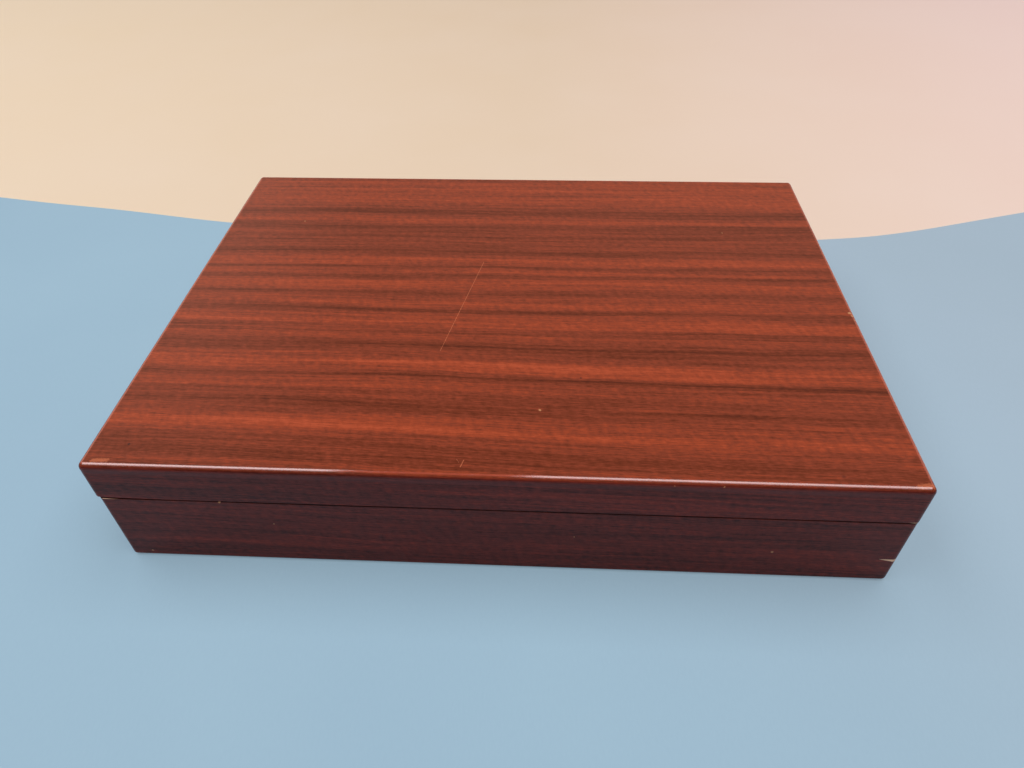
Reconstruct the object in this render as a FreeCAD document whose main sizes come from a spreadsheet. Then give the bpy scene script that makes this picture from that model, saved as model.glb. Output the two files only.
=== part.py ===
import FreeCAD, Part
import math
import os
import re
import Sketcher

# Silverware chest in mahogany, modelled closed, in millimetres.
# The origin is the centre of the felt underside: X runs along the front, Y to the hinges, Z up.
# The shell is one box sawn into a base and a lid, with mitred corners.
# The lid turns on two butt hinges let into the back, and bevelled back edges stop it when open.

SIZES = [
    ("chest_width", 381.0, "outside width of the base"),
    ("chest_depth", 279.4, "outside depth, front to back"),
    ("base_height", 46.6, "table to the base's rim"),
    ("lid_height", 22.9, "lid's rim to its top"),
    ("parting_gap", 0.3, "gap between the two rims"),
    ("wall_thickness", 9.5, "all eight walls"),
    ("corner_radius", 2.8, "upright corners of base and lid"),
    ("top_edge_radius", 2.6, "rounded edge of the top panel"),
    ("foot_edge_radius", 1.6, "rounded lower edge of the base"),
    ("rim_easing", 0.25, "broken edges along both rims"),
    ("lid_left_overhang", 1.4, "lid past the base on the left"),
    ("lid_right_overhang", 0.3, "lid past the base on the right"),
    ("lift_run", 70.0, "length of the lid's raised front left rim"),
    ("lift_rise", 0.9, "height of that raised rim at the corner"),
    ("lift_side_run", 45.0, "its length along the left side"),
    ("top_panel_thickness", 5.0, "lid's top panel"),
    ("bottom_panel_thickness", 4.0, "base's bottom panel"),
    ("rabbet_width", 4.8, "ledge in the walls for the bottom panel"),
    ("panel_clearance", 0.15, "bottom panel to its rabbet, each side"),
    ("felt_thickness", 0.8, "underside felt"),
    ("felt_inset", 4.0, "felt back from the outer faces"),
    ("lining_thickness", 1.5, "flannel on card"),
    ("lining_clearance", 0.15, "between lining boards"),
    ("lining_drop", 3.0, "lining's edge back from the rims"),
    ("serving_depth", 48.0, "front compartment, front to back"),
    ("divider_thickness", 6.0, "serving compartment's divider"),
    ("divider_height", 30.0, "divider above the floor lining"),
    ("rack_clearance", 0.3, "ends of racks and divider"),
    ("rack_easing", 1.6, "slanted long edges of racks and divider"),
    ("slot_rack_thickness", 14.0, "base racks, front to back"),
    ("slot_rack_height", 32.0, "base racks above the floor lining"),
    ("slot_rack_setback", 46.0, "rack's middle from divider or back lining"),
    ("slot_count", 8, "places in each base rack"),
    ("slot_pitch", 42.0, "between places"),
    ("slot_width", 17.0, "one place"),
    ("slot_depth", 24.0, "one place"),
    ("slot_floor_radius", 7.6, "rounded floor of a place"),
    ("mouth_easing", 2.0, "slanted mouth of every place"),
    ("knife_rack_height", 14.0, "lid racks below the lid lining"),
    ("knife_rack_thickness", 13.0, "lid racks, front to back"),
    ("knife_count", 8, "knives in the lid"),
    ("knife_pitch", 42.0, "between knives"),
    ("blade_rack_place", 78.0, "blade rack behind the middle"),
    ("blade_width", 22.0, "blade slot"),
    ("blade_depth", 6.5, "blade slot"),
    ("blade_floor_radius", 1.5, "corners of the blade slot"),
    ("handle_rack_place", 62.0, "handle rack in front of the middle"),
    ("handle_width", 16.0, "handle notch"),
    ("handle_depth", 10.0, "handle notch"),
    ("handle_floor_radius", 7.0, "rounded floor of the handle notch"),
    ("opening_angle", 97.0, "lid's travel in degrees"),
    ("bevel_clearance", 0.05, "each bevel back from the stop plane"),
    ("hinge_inset", 2.0, "hinge axis in from the back face"),
    ("hinge_end_distance", 75.5, "hinge's middle from the base's side"),
    ("hinge_length", 38.0, "one butt hinge"),
    ("leaf_thickness", 1.2, "hinge leaf"),
    ("leaf_reach", 6.4, "leaf's front edge from the axis"),
    ("leaf_play", 0.05, "leaf's face from the axis plane"),
    ("leaf_fit", 0.1, "leaf to its mortise"),
    ("knuckle_radius", 2.0, "hinge barrel"),
    ("knuckle_clearance", 0.25, "barrel to what it turns past"),
    ("knuckle_gap", 0.2, "between knuckles"),
    ("pin_radius", 0.9, "hinge pin"),
    ("pin_fit", 0.05, "pin in its bore"),
    ("pin_end", 0.6, "pin's ends out of the barrel"),
    ("screw_pitch", 25.0, "between the screws of a leaf"),
    ("screw_setback", 4.3, "screws in front of the axis"),
    ("screw_head_radius", 1.8, "countersunk head, as deep as its leaf is thick"),
    ("screw_radius", 1.0, "screw's shank"),
    ("screw_length", 9.5, "whole screw"),
    ("screw_fit", 0.05, "screw in its hole"),
    ("screw_tip_room", 0.5, "hole past the screw's end"),
]

KNUCKLES = 3
SCREWS_PER_LEAF = 2

doc = FreeCAD.newDocument("SilverwareChest")
sheet = doc.addObject("Spreadsheet::Sheet", "Sizes")
for row, (alias, amount, note) in enumerate(SIZES, 1):
    sheet.set(f"A{row}", alias)
    sheet.set(f"B{row}", str(amount))
    sheet.set(f"C{row}", note)
    sheet.setAlias(f"B{row}", alias)
doc.recompute()

ALIASES = re.compile(r"\b(" + "|".join(alias for alias, _, _ in SIZES) + r")\b")
NODES = []


def bound(text):
    """The sheet expression for a text that names sizes."""
    return ALIASES.sub(r"Sizes.\1", text)


def value(text):
    """The present value of such a text."""
    return float(sheet.evalExpression(bound(text)))


# Heights of the main surfaces above the table
BOARD_FLOOR = "(felt_thickness + bottom_panel_thickness)"
FLOOR = f"({BOARD_FLOOR} + lining_thickness)"
LID_RIM = "(base_height + parting_gap)"
HINGE_HEIGHT = "(base_height + parting_gap / 2)"
BASE_WALL_HEIGHT = "(base_height - felt_thickness)"
LID_WALL_HEIGHT = "(lid_height - top_panel_thickness)"
LID_CEILING = f"({LID_RIM} + {LID_WALL_HEIGHT} - lining_thickness)"

# Plan sizes of the base and of the lid
LID_WIDTH = "(chest_width + lid_left_overhang + lid_right_overhang)"
LID_MIDDLE = "((lid_right_overhang - lid_left_overhang) / 2)"
HINGE_PLACE = "(chest_depth / 2 - hinge_inset)"
HINGE_SPACING = "(chest_width - 2 * hinge_end_distance)"
ROOM_DEPTH = "(chest_depth - 2 * wall_thickness)"


# Building blocks

def new_body(label):
    body = doc.addObject("PartDesign::Body", label)
    body.Label = label
    NODES.append(body)
    return body


def place(thing, x="0", y="0", z="0", axis=(0, 0, 1), turn=0):
    """Put a piece in the frame, turned about an axis through its own origin."""
    thing.Placement = FreeCAD.Placement(
        FreeCAD.Vector(value(x), value(y), value(z)), FreeCAD.Rotation(FreeCAD.Vector(*axis), turn)
    )
    for letter, text in (("x", x), ("y", y), ("z", z)):
        thing.setExpression(f"Placement.Base.{letter}", bound(text))


def block(label, length, width, height, x, y, z):
    """A board with square edges, given by its sizes and the middle of its lower face."""
    board = doc.addObject("Part::Box", label)
    board.Label = label
    for name, text in (("Length", length), ("Width", width), ("Height", height)):
        board.setExpression(name, bound(text))
    place(board, f"{x} - {length} / 2", f"{y} - {width} / 2", z)
    NODES.append(board)
    return board


def origin_part(body, role):
    return next(part for part in body.Origin.OriginFeatures if part.Role == role)


def new_sketch(body, name, role, shift=("0", "0", "0")):
    """An empty sketch on an origin plane, shifted in its own right, up and normal directions."""
    sketch = body.newObject("Sketcher::SketchObject", name)
    sketch.AttachmentSupport = [(origin_part(body, role), "")]
    sketch.MapMode = "FlatFace"
    for letter, text in zip("xyz", shift):
        sketch.setExpression(f"AttachmentOffset.Base.{letter}", bound(text))
    return sketch


def pin_point(sketch, edge, end, x, y):
    """Tie one point of the sketch to its origin by two distances."""
    for kind, text in (("DistanceX", x), ("DistanceY", y)):
        index = sketch.addConstraint(Sketcher.Constraint(kind, -1, 1, edge, end, value(text)))
        sketch.setExpression(f"Constraints[{index}]", bound(text))


def arc_between(start, end, radius):
    """The short arc from start to end: to the left with a radius over 0, else to the right."""
    chord = end - start
    across = FreeCAD.Vector(-chord.y, chord.x, 0).normalize()
    rise = math.sqrt(max(radius**2 - chord.Length**2 / 4, 0))
    centre = (start + end) / 2 + across * math.copysign(rise, radius)
    circle = Part.Circle(centre, FreeCAD.Vector(0, 0, 1), abs(radius))
    first, last = (start, end) if radius > 0 else (end, start)
    return Part.ArcOfCircle(circle, *(math.atan2(p.y - centre.y, p.x - centre.x) for p in (first, last)))


def add_loop(sketch, corners):
    """A closed outline of (x, y) or (x, y, radius), where the radius bends the edge that follows."""
    points = [FreeCAD.Vector(value(corner[0]), value(corner[1]), 0) for corner in corners]
    first = sketch.GeometryCount
    ends = []
    for number, corner in enumerate(corners):
        start, end = points[number], points[(number + 1) % len(points)]
        bend = value(corner[2]) if len(corner) > 2 else 0
        sketch.addGeometry(arc_between(start, end, bend) if bend else Part.LineSegment(start, end))
        ends.append((2, 1) if bend < 0 else (1, 2))
    for number, corner in enumerate(corners):
        after = (number + 1) % len(corners)
        joint = (first + number, ends[number][1], first + after, ends[after][0])
        sketch.addConstraint(Sketcher.Constraint("Coincident", *joint))
        pin_point(sketch, first + number, ends[number][0], corner[0], corner[1])
        if len(corner) > 2:
            text = corner[2].lstrip("-")
            radius = sketch.addConstraint(Sketcher.Constraint("Radius", first + number, value(text)))
            sketch.setExpression(f"Constraints[{radius}]", bound(text))


def add_circle(sketch, x, y, radius):
    centre = FreeCAD.Vector(value(x), value(y), 0)
    edge = sketch.addGeometry(Part.Circle(centre, FreeCAD.Vector(0, 0, 1), value(radius)))
    pin_point(sketch, edge, 3, x, y)
    index = sketch.addConstraint(Sketcher.Constraint("Radius", edge, value(radius)))
    sketch.setExpression(f"Constraints[{index}]", bound(radius))


def rectangle(left, right, low, high):
    return [(left, low), (right, low), (right, high), (left, high)]


def extrude(body, kind, sketch, length=None, backwards=False):
    """A Pad or Pocket of a length, or a Pocket through everything both ways."""
    before = 0 if body.Shape.isNull() else body.Shape.Volume
    feature = body.newObject(f"PartDesign::{kind}", f"{sketch.Name}{kind}")
    feature.Profile = sketch
    if length is None:
        feature.SideType = "Two sides"
        feature.Type = "ThroughAll"
        feature.Type2 = "ThroughAll"
    else:
        feature.Length = value(length)
        feature.setExpression("Length", bound(length))
        feature.Reversed = backwards
    doc.recompute()
    grown = body.Shape.Volume - before
    if grown * (1 if kind == "Pad" else -1) <= 0:
        raise RuntimeError(f"{feature.Name} in {body.Label} changes nothing")
    return feature


def revolve(body, kind, sketch, axis):
    """A full turn of a profile, added as a Revolution or cut as a Groove."""
    feature = body.newObject(f"PartDesign::{kind}", f"{sketch.Name}{kind}")
    feature.Profile = sketch
    feature.ReferenceAxis = (sketch, [axis])
    feature.Angle = 360
    doc.recompute()
    return feature


def repeat(body, features, name, steps):
    """Copies of features along X, in one or more rows of (count, distance between copies)."""
    pattern = body.newObject("PartDesign::MultiTransform", name)
    pattern.Originals = features
    rows = []
    for number, (count, pitch) in enumerate(steps):
        row = body.newObject("PartDesign::LinearPattern", f"{name}Row{number}")
        row.Direction = (origin_part(body, "X_Axis"), [""])
        row.Occurrences = round(value(count))
        row.setExpression("Occurrences", bound(count))
        row.Length = value(f"({count} - 1) * {pitch}")
        row.setExpression("Length", bound(f"({count} - 1) * {pitch}"))
        rows.append(row)
    pattern.Transformations = rows
    body.Tip = pattern
    doc.recompute()
    return pattern


def dress(body, kind, size, amount, name, chosen):
    """A Fillet or Chamfer along the edges of the body that a test picks."""
    base = body.Tip
    names = [f"Edge{number}" for number, edge in enumerate(base.Shape.Edges, 1) if chosen(edge.BoundBox)]
    feature = body.newObject(f"PartDesign::{kind}", name)
    feature.Base = (base, names)
    setattr(feature, size, value(amount))
    feature.setExpression(size, bound(amount))
    doc.recompute()


def round_over(body, name, radius, chosen):
    dress(body, "Fillet", "Radius", radius, name, chosen)


def break_edge(body, name, width, chosen):
    dress(body, "Chamfer", "Size", width, name, chosen)


def level(box, height):
    """Whether an edge lies flat at a height."""
    return abs(box.ZMin - height) < 1e-4 and abs(box.ZMax - height) < 1e-4


# Walls: each lies along X with its outer face on Y = 0 and its lower edge on Z = 0

def mitred_wall(label, length, height, rim_on_top):
    body = new_body(label)
    cut = "corner_radius * (1 - sqrt(0.5))"
    plan = new_sketch(body, "Plan", "XY_Plane")
    add_loop(plan, [
        (f"corner_radius - {length} / 2", "0"),
        (f"{length} / 2 - corner_radius", "0", "corner_radius"),
        (f"{length} / 2 - {cut}", cut),
        (f"{length} / 2 - wall_thickness", "wall_thickness"),
        (f"wall_thickness - {length} / 2", "wall_thickness"),
        (f"{cut} - {length} / 2", cut, "corner_radius"),
    ])
    extrude(body, "Pad", plan, height)
    rim = value(height) if rim_on_top else 0
    outer = value("corner_radius") + 1e-4
    inner = value("wall_thickness") - 1e-4
    break_edge(body, "OuterRimEasing", "rim_easing", lambda box: level(box, rim) and box.YMax < outer)
    break_edge(body, "InnerRimEasing", "rim_easing", lambda box: level(box, rim) and box.YMin > inner)
    return body


def add_rabbet(body, length):
    """The ledge that takes the bottom panel, and the rounded foot of a base wall."""
    ledge = new_sketch(body, "Rabbet", "XY_Plane")
    add_loop(ledge, rectangle(
        f"-{length} / 2", f"{length} / 2", "wall_thickness - rabbet_width", "2 * wall_thickness"
    ))
    extrude(body, "Pocket", ledge, "bottom_panel_thickness", backwards=True)
    outer = value("corner_radius") + 1e-4
    round_over(body, "FootRounding", "foot_edge_radius", lambda box: level(box, 0) and box.YMax < outer)


def stop_bevel(edge, into, axis_height, side):
    """Outline of the wedge cut from a back edge, so that lid and base meet when the lid is open."""
    slope = "tan(opening_angle / 2)"
    start = f"({axis_height} {side} bevel_clearance / cos(opening_angle / 2))"
    corners = [
        (f"{edge} {into} hinge_inset", start),
        (f"{edge} {into} (-hinge_inset)", start),
        (f"{edge} {into} (-hinge_inset)", f"{start} {side} 2 * hinge_inset * {slope}"),
    ]
    return corners


def bevel_back_wall(body, axis_height, side):
    bevel = new_sketch(body, "StopBevel", "YZ_Plane")
    add_loop(bevel, stop_bevel("0", "+", axis_height, side))
    extrude(body, "Pocket", bevel)


def bevel_side_wall(body, edge, into, axis_height, side):
    bevel = new_sketch(body, "StopBevel", "XZ_Plane")
    add_loop(bevel, stop_bevel(edge, into, axis_height, side))
    extrude(body, "Pocket", bevel)


def let_in_hinges(body, rim, upwards, shift):
    """Mortises for the leaves and barrels, and pilot holes for the screws."""
    mortise = new_sketch(body, "LeafMortise", "XY_Plane", ("0", "0", rim))
    barrel = new_sketch(body, "BarrelMortise", "XY_Plane", ("0", "0", rim))
    pilot = new_sketch(body, "PilotHoles", "XY_Plane", ("0", "0", rim))
    for end in ("-", ""):
        middle = f"{end}{HINGE_SPACING} / 2 + {shift}"
        half = "(hinge_length / 2 + leaf_fit)"
        add_loop(mortise, rectangle(
            f"{middle} - {half}", f"{middle} + {half}", "0", "hinge_inset + leaf_reach + leaf_fit"
        ))
        half = "(hinge_length / 2 + pin_end + 2 * leaf_fit)"
        add_loop(barrel, rectangle(
            f"{middle} - {half}", f"{middle} + {half}", "0", "hinge_inset + knuckle_radius + knuckle_clearance"
        ))
        for number in range(SCREWS_PER_LEAF):
            add_circle(
                pilot,
                f"{middle} + {number - (SCREWS_PER_LEAF - 1) / 2} * screw_pitch",
                "hinge_inset + screw_setback",
                "screw_radius + screw_fit",
            )
    gap = "parting_gap / 2"
    extrude(body, "Pocket", mortise, f"leaf_play + leaf_thickness - {gap}", upwards)
    extrude(body, "Pocket", barrel, f"knuckle_radius + knuckle_clearance - {gap}", upwards)
    depth = f"leaf_play + screw_length + screw_tip_room - {gap}"
    extrude(body, "Pocket", pilot, depth, upwards)


def raise_rim(body, end, run):
    """The lid's rim sweeps up in a long arc towards its front left corner."""
    relief = new_sketch(body, "RaisedRim", "XZ_Plane")
    radius = f"({run} ^ 2 + lift_rise ^ 2) / (2 * lift_rise)"
    tip = end
    start = f"{end} {'+' if end.startswith('-') else '-'} {run}"
    bend = f"-{radius}" if end.startswith("-") else radius
    add_loop(relief, [
        (tip, "-lift_rise"),
        (start, "-lift_rise"),
        (start, "0", bend),
        (tip, "lift_rise"),
    ])
    extrude(body, "Pocket", relief)


def base_walls():
    half_width = "chest_width / 2"
    half_depth = "chest_depth / 2"
    axis = f"({BASE_WALL_HEIGHT} + parting_gap / 2)"
    front = mitred_wall("base_front_wall", "chest_width", BASE_WALL_HEIGHT, True)
    add_rabbet(front, "chest_width")
    place(front, "0", f"-{half_depth}", "felt_thickness")
    back = mitred_wall("base_back_wall", "chest_width", BASE_WALL_HEIGHT, True)
    add_rabbet(back, "chest_width")
    bevel_back_wall(back, axis, "-")
    let_in_hinges(back, BASE_WALL_HEIGHT, False, "0")
    place(back, "0", half_depth, "felt_thickness", turn=180)
    left = mitred_wall("base_left_wall", "chest_depth", BASE_WALL_HEIGHT, True)
    add_rabbet(left, "chest_depth")
    bevel_side_wall(left, f"-{half_depth}", "+", axis, "-")
    place(left, f"-{half_width}", "0", "felt_thickness", turn=-90)
    right = mitred_wall("base_right_wall", "chest_depth", BASE_WALL_HEIGHT, True)
    add_rabbet(right, "chest_depth")
    bevel_side_wall(right, half_depth, "-", axis, "-")
    place(right, half_width, "0", "felt_thickness", turn=90)


def lid_walls():
    half_depth = "chest_depth / 2"
    axis = "-parting_gap / 2"
    front = mitred_wall("lid_front_wall", LID_WIDTH, LID_WALL_HEIGHT, False)
    raise_rim(front, f"-{LID_WIDTH} / 2", "lift_run")
    place(front, LID_MIDDLE, f"-{half_depth}", LID_RIM)
    back = mitred_wall("lid_back_wall", LID_WIDTH, LID_WALL_HEIGHT, False)
    bevel_back_wall(back, axis, "+")
    let_in_hinges(back, "0", True, LID_MIDDLE)
    place(back, LID_MIDDLE, half_depth, LID_RIM, turn=180)
    left = mitred_wall("lid_left_wall", "chest_depth", LID_WALL_HEIGHT, False)
    bevel_side_wall(left, f"-{half_depth}", "+", axis, "+")
    raise_rim(left, half_depth, "lift_side_run")
    place(left, "-chest_width / 2 - lid_left_overhang", "0", LID_RIM, turn=-90)
    right = mitred_wall("lid_right_wall", "chest_depth", LID_WALL_HEIGHT, False)
    bevel_side_wall(right, half_depth, "-", axis, "+")
    place(right, "chest_width / 2 + lid_right_overhang", "0", LID_RIM, turn=90)


# Panels, felt and linings

def top_panel():
    """The lid's top, flush with the walls under it, with a rounded edge all round."""
    body = new_body("lid_top_panel")
    plan = new_sketch(body, "Plan", "XY_Plane")
    right, back = f"{LID_WIDTH} / 2", "chest_depth / 2"
    bend = "corner_radius"
    add_loop(plan, [
        (f"{bend} - {right}", f"-{back}"),
        (f"{right} - {bend}", f"-{back}", bend),
        (right, f"{bend} - {back}"),
        (right, f"{back} - {bend}", bend),
        (f"{right} - {bend}", back),
        (f"{bend} - {right}", back, bend),
        (f"-{right}", f"{back} - {bend}"),
        (f"-{right}", f"{bend} - {back}", bend),
    ])
    extrude(body, "Pad", plan, "top_panel_thickness")
    top = value("top_panel_thickness")
    round_over(body, "TopRounding", "top_edge_radius", lambda box: level(box, top))
    place(body, LID_MIDDLE, "0", f"{LID_RIM} + {LID_WALL_HEIGHT}")


def bottom_panel_and_felt():
    ledge = "(wall_thickness - rabbet_width + panel_clearance)"
    block(
        "base_bottom_panel", f"(chest_width - 2 * {ledge})", f"(chest_depth - 2 * {ledge})",
        "bottom_panel_thickness", "0", "0", "felt_thickness",
    )
    block(
        "underside_felt", "(chest_width - 2 * felt_inset)", "(chest_depth - 2 * felt_inset)",
        "felt_thickness", "0", "0", "0",
    )


def lining_set(part, room_width, middle, low, high, flat_label, flat_height):
    """A flat lining and the four boards round it, in the base or the lid."""
    inner_width = f"({room_width} - 2 * lining_clearance)"
    inner_depth = f"({ROOM_DEPTH} - 2 * lining_clearance)"
    side_depth = f"({ROOM_DEPTH} - 2 * lining_thickness - 2 * lining_clearance)"
    height = f"({high} - {low})"
    block(flat_label, inner_width, inner_depth, "lining_thickness", middle, "0", flat_height)
    for name, sign in (("front", "-"), ("back", "")):
        y = f"{sign}({ROOM_DEPTH} - lining_thickness) / 2"
        block(f"{part}_{name}_lining", inner_width, "lining_thickness", height, middle, y, low)
    for name, sign in (("left", "-"), ("right", "+")):
        x = f"{middle} {sign} ({room_width} - lining_thickness) / 2"
        block(f"{part}_{name}_lining", "lining_thickness", side_depth, height, x, "0", low)


def linings():
    base_room = "(chest_width - 2 * wall_thickness)"
    lid_room = f"({LID_WIDTH} - 2 * wall_thickness)"
    base_top = "(base_height - lining_drop)"
    lid_bottom = f"({LID_RIM} + lining_drop)"
    lining_set("base", base_room, "0", FLOOR, base_top, "base_floor_lining", BOARD_FLOOR)
    lining_set("lid", lid_room, LID_MIDDLE, lid_bottom, LID_CEILING, "lid_panel_lining", LID_CEILING)


# Racks: flannel covered bars with a row of places cut across them

def long_bar(label, length, thickness, height, eased_on_top):
    """A bar along X on Z = 0, with two long edges eased."""
    body = new_body(label)
    end = new_sketch(body, "End", "YZ_Plane", ("0", "0", f"-{length} / 2"))
    side = f"{thickness} / 2"
    slant = "rack_easing"
    if eased_on_top:
        corners = [
            (f"-{side}", "0"),
            (side, "0"),
            (side, f"{height} - {slant}"),
            (f"{side} - {slant}", height),
            (f"{slant} - {side}", height),
            (f"-{side}", f"{height} - {slant}"),
        ]
    else:
        corners = [
            (f"{slant} - {side}", "0"),
            (f"{side} - {slant}", "0"),
            (side, slant),
            (side, height),
            (f"-{side}", height),
            (f"-{side}", slant),
        ]
    add_loop(end, corners)
    extrude(body, "Pad", end, length)
    return body


def cut_places(body, height, count, pitch, width, depth, floor_radius):
    """A row of places open at the top of a bar, each with a slanted mouth and a rounded floor."""
    middle = f"-({count} - 1) * {pitch} / 2"
    outline = new_sketch(body, "Place", "XZ_Plane", (middle, "0", "0"))
    side = f"{width} / 2"
    floor = f"({height} - {depth})"
    mouth = "mouth_easing"
    add_loop(outline, [
        (f"{side} + {mouth}", f"{height} + {mouth}"),
        (f"-{side} - {mouth}", f"{height} + {mouth}"),
        (f"-{side} - {mouth}", height),
        (f"-{side}", f"{height} - {mouth}"),
        (f"-{side}", f"{floor} + {floor_radius}", floor_radius),
        (f"{floor_radius} - {side}", floor),
        (f"{side} - {floor_radius}", floor, floor_radius),
        (side, f"{floor} + {floor_radius}"),
        (side, f"{height} - {mouth}"),
        (f"{side} + {mouth}", height),
    ])
    place_cut = extrude(body, "Pocket", outline)
    repeat(body, [place_cut], "Places", [(count, pitch)])


def base_racks():
    length = "(chest_width - 2 * (wall_thickness + lining_thickness + rack_clearance))"
    front_face = "(-chest_depth / 2 + wall_thickness + lining_thickness)"
    divider = long_bar("serving_divider", length, "divider_thickness", "divider_height", True)
    place(divider, "0", f"{front_face} + serving_depth + divider_thickness / 2", FLOOR)
    places = {
        "front_slot_rack": f"{front_face} + serving_depth + divider_thickness + slot_rack_setback",
        "back_slot_rack": f"-{front_face} - slot_rack_setback",
    }
    for label, y in places.items():
        rack = long_bar(label, length, "slot_rack_thickness", "slot_rack_height", True)
        cut_places(
            rack, "slot_rack_height", "slot_count", "slot_pitch", "slot_width", "slot_depth", "slot_floor_radius"
        )
        place(rack, "0", y, FLOOR)


def lid_racks():
    """Knives lie in the notches by their handles, with the blades under the other bar."""
    length = f"({LID_WIDTH} - 2 * (wall_thickness + lining_thickness + rack_clearance))"
    height = "knife_rack_height"
    blade = long_bar("knife_blade_rack", length, "knife_rack_thickness", height, False)
    cut_places(blade, height, "knife_count", "knife_pitch", "blade_width", "blade_depth", "blade_floor_radius")
    place(blade, LID_MIDDLE, "blade_rack_place", f"{LID_CEILING} - {height}")
    handle = long_bar("knife_handle_rack", length, "knife_rack_thickness", height, True)
    cut_places(
        handle, height, "knife_count", "knife_pitch", "handle_width", "handle_depth", "handle_floor_radius"
    )
    place(handle, LID_MIDDLE, "-handle_rack_place", LID_CEILING, axis=(0, 1, 0), turn=180)


# Hinges: each piece is modelled on the hinge axis with the base's leaf below it

def hinge_leaf(label, first, count, x, flipped):
    body = new_body(label)
    pitch = f"(hinge_length / {KNUCKLES})"
    back = "(knuckle_radius + knuckle_clearance)"
    low, high = "-(leaf_play + leaf_thickness)", "-leaf_play"
    plate = new_sketch(body, "Plate", "XY_Plane", ("0", "0", low))
    add_loop(plate, rectangle("-hinge_length / 2", "hinge_length / 2", "-leaf_reach", f"-{back}"))
    extrude(body, "Pad", plate, "leaf_thickness")
    start = ("0", "0", f"{first} * {pitch} - (hinge_length - knuckle_gap) / 2")
    tab = new_sketch(body, "Tab", "YZ_Plane", start)
    add_loop(tab, rectangle(f"-{back} - knuckle_clearance", "0", low, high))
    barrel = new_sketch(body, "Barrel", "YZ_Plane", start)
    add_circle(barrel, "0", "0", "knuckle_radius")
    knuckle = [extrude(body, "Pad", outline, f"{pitch} - knuckle_gap") for outline in (tab, barrel)]
    if count > 1:
        repeat(body, knuckle, "Knuckles", [(str(count), f"2 * {pitch}")])
    bore = new_sketch(body, "Bore", "YZ_Plane")
    add_circle(bore, "0", "0", "pin_radius + pin_fit")
    extrude(body, "Pocket", bore)
    side = f"-{(SCREWS_PER_LEAF - 1) / 2} * screw_pitch"
    hole = new_sketch(body, "ScrewHole", "XZ_Plane", (side, "0", "screw_setback"))
    shank = "screw_radius + screw_fit"
    add_loop(hole, [
        ("0", "-leaf_play"),
        ("screw_head_radius + screw_fit", "-leaf_play"),
        (shank, "-leaf_play - leaf_thickness"),
        (shank, "-leaf_play - 2 * leaf_thickness"),
        ("0", "-leaf_play - 2 * leaf_thickness"),
    ])
    cut = revolve(body, "Groove", hole, "V_Axis")
    repeat(body, [cut], "ScrewHoles", [(str(SCREWS_PER_LEAF), "screw_pitch")])
    place(body, x, HINGE_PLACE, HINGE_HEIGHT, axis=(0, 1, 0), turn=180 if flipped else 0)


def hinge_pin(label, x):
    """A plain pin whose ends stand out of the barrel."""
    body = new_body(label)
    outline = new_sketch(body, "Outline", "YZ_Plane", ("0", "0", "-hinge_length / 2 - pin_end"))
    add_circle(outline, "0", "0", "pin_radius")
    extrude(body, "Pad", outline, "hinge_length + 2 * pin_end")
    place(body, x, HINGE_PLACE, HINGE_HEIGHT)


def hinge_screws(label, side, flipped):
    """The countersunk screws of both leaves on one rim."""
    body = new_body(label)
    profile = new_sketch(body, "Profile", "XZ_Plane")
    add_loop(profile, [
        ("0", "0"),
        ("screw_head_radius", "0"),
        ("screw_radius", "-leaf_thickness"),
        ("screw_radius", "-screw_length"),
        ("0", "-screw_length"),
    ])
    screw = revolve(body, "Revolution", profile, "V_Axis")
    repeat(body, [screw], "Screws", [(str(SCREWS_PER_LEAF), "screw_pitch"), ("2", HINGE_SPACING)])
    sign = "" if flipped else "-"
    x = f"{sign}({HINGE_SPACING} + {SCREWS_PER_LEAF - 1} * screw_pitch) / 2"
    z = f"{HINGE_HEIGHT} {side} leaf_play"
    place(body, x, f"{HINGE_PLACE} - screw_setback", z, axis=(0, 1, 0), turn=180 if flipped else 0)


def hinges():
    for name, x in (("left", f"-{HINGE_SPACING} / 2"), ("right", f"{HINGE_SPACING} / 2")):
        hinge_leaf(f"{name}_hinge_base_leaf", 0, KNUCKLES // 2 + 1, x, False)
        hinge_leaf(f"{name}_hinge_lid_leaf", 1, KNUCKLES // 2, x, True)
        hinge_pin(f"{name}_hinge_pin", x)
    hinge_screws("base_hinge_screws", "-", False)
    hinge_screws("lid_hinge_screws", "+", True)


def check_and_write():
    """Stop on any failed feature or shape, then write one file for each piece."""
    doc.recompute()
    for item in doc.Objects:
        if "Invalid" in item.State or "Error" in item.State:
            raise RuntimeError(f"{item.Name} ({item.Label}) failed: {item.State}")
    os.makedirs("parts", exist_ok=True)
    for node in NODES:
        if node.Shape.isNull() or not node.Shape.isValid():
            raise RuntimeError(f"{node.Label} has no valid shape")
    for node in NODES:
        node.Shape.exportStep(f"parts/{node.Label}.step")
        print(f"{node.Label}: {len(node.Shape.Solids)} solid, {node.Shape.Volume:.1f} mm3")


base_walls()
bottom_panel_and_felt()
lid_walls()
top_panel()
linings()
base_racks()
lid_racks()
hinges()
check_and_write()
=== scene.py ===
import math

import bpy
from mathutils import Euler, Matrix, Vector, noise


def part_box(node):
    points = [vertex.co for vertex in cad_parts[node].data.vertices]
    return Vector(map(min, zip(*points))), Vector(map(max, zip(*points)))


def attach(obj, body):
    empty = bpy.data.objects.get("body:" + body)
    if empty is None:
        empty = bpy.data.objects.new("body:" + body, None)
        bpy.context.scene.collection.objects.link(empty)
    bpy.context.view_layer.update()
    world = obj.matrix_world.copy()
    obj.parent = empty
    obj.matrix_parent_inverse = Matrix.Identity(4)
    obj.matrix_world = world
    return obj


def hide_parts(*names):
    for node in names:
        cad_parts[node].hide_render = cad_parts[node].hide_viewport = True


# The silverware chest, dressed: lacquered ribbon mahogany, brown flannel inside, brass hinges.
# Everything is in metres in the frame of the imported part. Texture sizes are in millimetres.

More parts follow.
